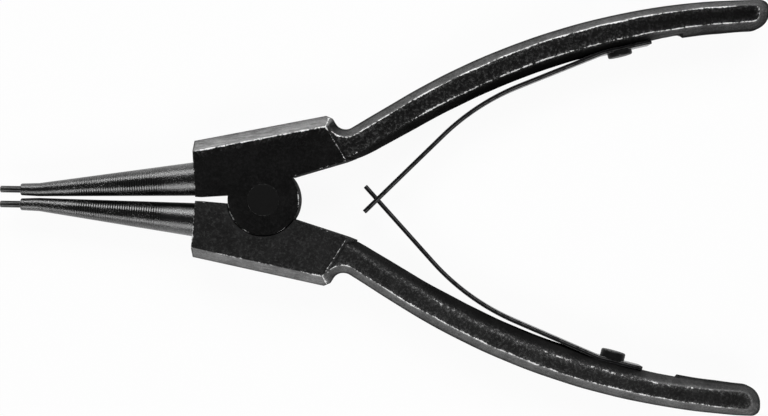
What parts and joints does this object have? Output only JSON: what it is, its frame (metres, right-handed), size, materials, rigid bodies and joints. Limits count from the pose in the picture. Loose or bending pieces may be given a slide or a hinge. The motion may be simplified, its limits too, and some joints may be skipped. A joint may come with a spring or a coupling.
{
  "type": "external circlip pliers",
  "caption": "Straight external circlip pliers: forged lap-jointed halves with cone jaws and wire tips, bowed handles and crossed leaf springs that keep the jaws closed.",
  "frame": {"origin": "where the pivot axis meets the rear face of the head", "axes": "+X from the pivot towards the handles, +Y towards the upper handle, +Z out of the front face along the pivot axis"},
  "size_m": [0.1796, 0.0974, 0.01],
  "materials": {
    "forged_steel": "satin black, forged texture, bright worn edges",
    "rivet_steel": "satin black",
    "spring_steel": "blued strip steel",
    "tip_steel": "dark hardened wire"
  },
  "bodies": {
    "lower": {"lower_half": "forged_steel", "pivot_rivet": "rivet_steel", "lower_leaf_spring": "spring_steel", "lower_spring_rivet": "rivet_steel", "lower_tip_pin": "tip_steel"},
    "upper": {"upper_half": "forged_steel", "upper_leaf_spring": "spring_steel", "upper_spring_rivet": "rivet_steel", "upper_tip_pin": "tip_steel"}
  },
  "joints": [
    {"name": "squeeze", "type": "hinge", "parent": "lower", "child": "upper", "pos_m": [0, 0, 0.005], "axis": [0, 0, -1], "range_deg": [-0.3, 30], "stiffness_Nm_per_rad": 4, "deforming": ["upper_leaf_spring", "lower_leaf_spring"]}
  ]
}
